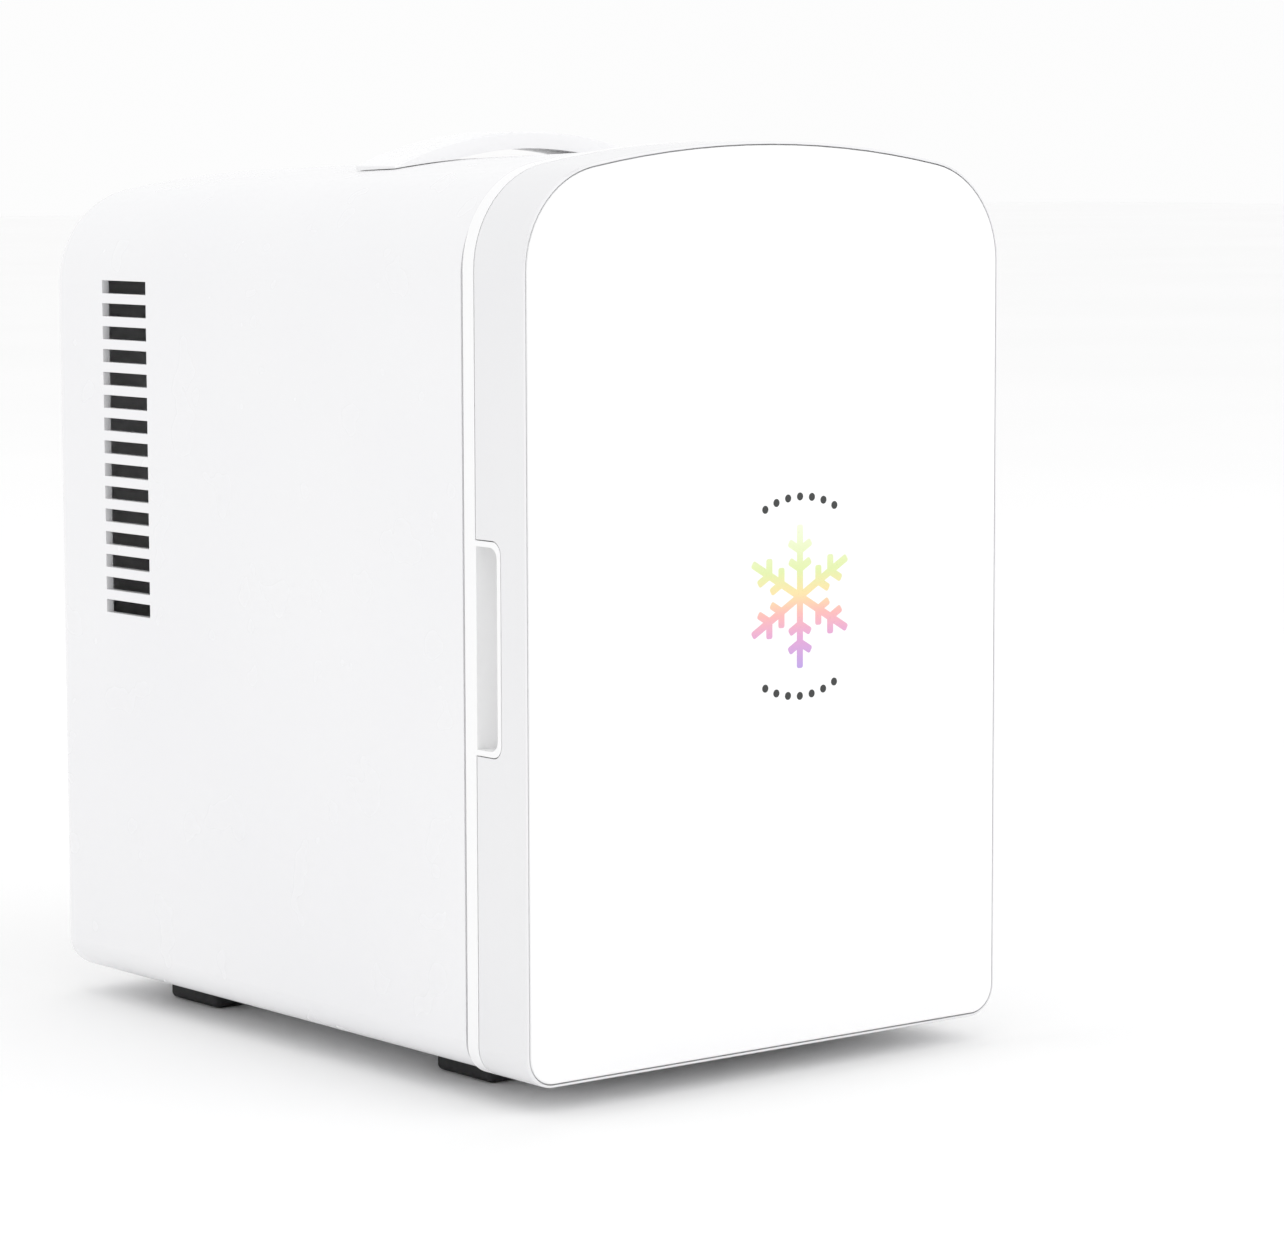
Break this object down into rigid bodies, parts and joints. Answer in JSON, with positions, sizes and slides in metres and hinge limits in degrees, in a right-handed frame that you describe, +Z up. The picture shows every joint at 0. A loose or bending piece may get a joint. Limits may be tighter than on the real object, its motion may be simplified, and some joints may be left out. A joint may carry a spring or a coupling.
{
  "type": "mini fridge",
  "caption": "Thermoelectric mini fridge with an arched top, a hinged insulated door with a side finger grip, a low pull-up carry handle and louvred sides.",
  "frame": {"origin": "centre of the bounding box's bottom face, on the surface the feet stand on", "axes": "+X to the fridge's right seen from the front (the hinge side), +Y to the rear, +Z up; the door faces -Y"},
  "size_m": [0.1782, 0.2434, 0.2693],
  "materials": {
    "panel_acrylic": "high gloss, back-coated white",
    "door_white": "gloss white",
    "trim_white": "gloss white",
    "cabinet_white": "gloss white",
    "handle_white": "gloss white",
    "rear_white": "fine-textured white",
    "liner_white": "vacuum-formed satin white",
    "shelf_clear": "frosted",
    "insulation_foam": "rigid foam",
    "gasket_foam": "closed-cell foam",
    "gasket_rubber": "soft vinyl",
    "feet_rubber": "matte",
    "steel_plated": "zinc plated",
    "steel_pin": "ground",
    "hinge_steel": "white enamel",
    "magnet_nickel": "nickel plated",
    "washer_nylon": "natural nylon",
    "aluminium_extruded": "mill finish",
    "module_ceramic": "ceramic plates",
    "plastic_black": "fine texture",
    "fan_black": "moulded",
    "socket_black": "moulded",
    "switch_black": "polished",
    "led_green": "tinted lens",
    "board_green": "solder mask",
    "transformer_yellow": "tape-wound",
    "capacitor_black": "sleeved"
  },
  "bodies": {
    "cabinet": {"cabinet_shell": "cabinet_white", "front_frame": "trim_white", "striker_plates": "magnet_nickel", "cabinet_hinge_leaves": "hinge_steel", "cabinet_hinge_screws": "steel_plated", "hinge_pins": "steel_pin", "inner_liner": "liner_white", "cabinet_insulation": "insulation_foam", "shelf": "shelf_clear", "handle_guides": "trim_white", "cold_heatsink": "aluminium_extruded", "clamp_washers": "washer_nylon", "clamp_screws": "steel_plated", "spacer_block": "aluminium_extruded", "thermoelectric_module": "module_ceramic", "module_seal": "gasket_foam", "rear_bulkhead": "plastic_black", "hot_heatsink": "aluminium_extruded", "cold_fan_frame": "fan_black", "cold_fan_screws": "steel_plated", "hot_fan_frame": "fan_black", "hot_fan_screws": "steel_plated", "cold_air_cover": "liner_white", "cold_cover_screws": "steel_plated", "rear_cover": "rear_white", "rear_cover_screws": "steel_plated", "ac_inlet": "socket_black", "dc_socket": "socket_black", "switch_housing": "socket_black", "indicator_led": "led_green", "power_board": "board_green", "board_screws": "steel_plated", "transformer": "transformer_yellow", "board_capacitors": "capacitor_black", "board_heat_tab": "aluminium_extruded", "feet": "feet_rubber", "foot_screws": "steel_plated"},
    "door": {"front_panel": "panel_acrylic", "door_shell": "door_white", "door_frame": "trim_white", "door_insulation": "insulation_foam", "door_liner": "liner_white", "door_liner_screws": "steel_plated", "door_gasket": "gasket_rubber", "door_magnets": "magnet_nickel", "door_hinge_leaves": "hinge_steel", "door_hinge_screws": "steel_plated"},
    "door_bin_body": {"door_bin": "shelf_clear"},
    "handle": {"carry_handle": "handle_white"},
    "cold_fan": {"cold_fan_rotor": "fan_black"},
    "hot_fan": {"hot_fan_rotor": "fan_black"},
    "switch_rocker": {"mode_switch": "switch_black"}
  },
  "joints": [
    {"name": "door_hinge", "type": "hinge", "parent": "cabinet", "child": "door", "pos_m": [0.0875, -0.0937, 0.128], "axis": [0, 0, 1], "range_deg": [0, 135]},
    {"name": "bin_lift", "type": "slide", "parent": "door", "child": "door_bin_body", "axis": [0, 0, 1], "range_m": [0, 0.01]},
    {"name": "handle_pull", "type": "slide", "parent": "cabinet", "child": "handle", "axis": [0, 0, 1], "range_m": [0, 0.017]},
    {"name": "cold_fan_spin", "type": "hinge", "parent": "cabinet", "child": "cold_fan", "pos_m": [0, 0.015, 0.165], "axis": [0, 1, 0], "continuous": true},
    {"name": "hot_fan_spin", "type": "hinge", "parent": "cabinet", "child": "hot_fan", "pos_m": [0, 0.1, 0.165], "axis": [0, 1, 0], "continuous": true},
    {"name": "mode_rocker", "type": "hinge", "parent": "cabinet", "child": "switch_rocker", "pos_m": [0, 0.1143, 0.056], "axis": [0, 0, 1], "range_deg": [-10, 10]}
  ]
}
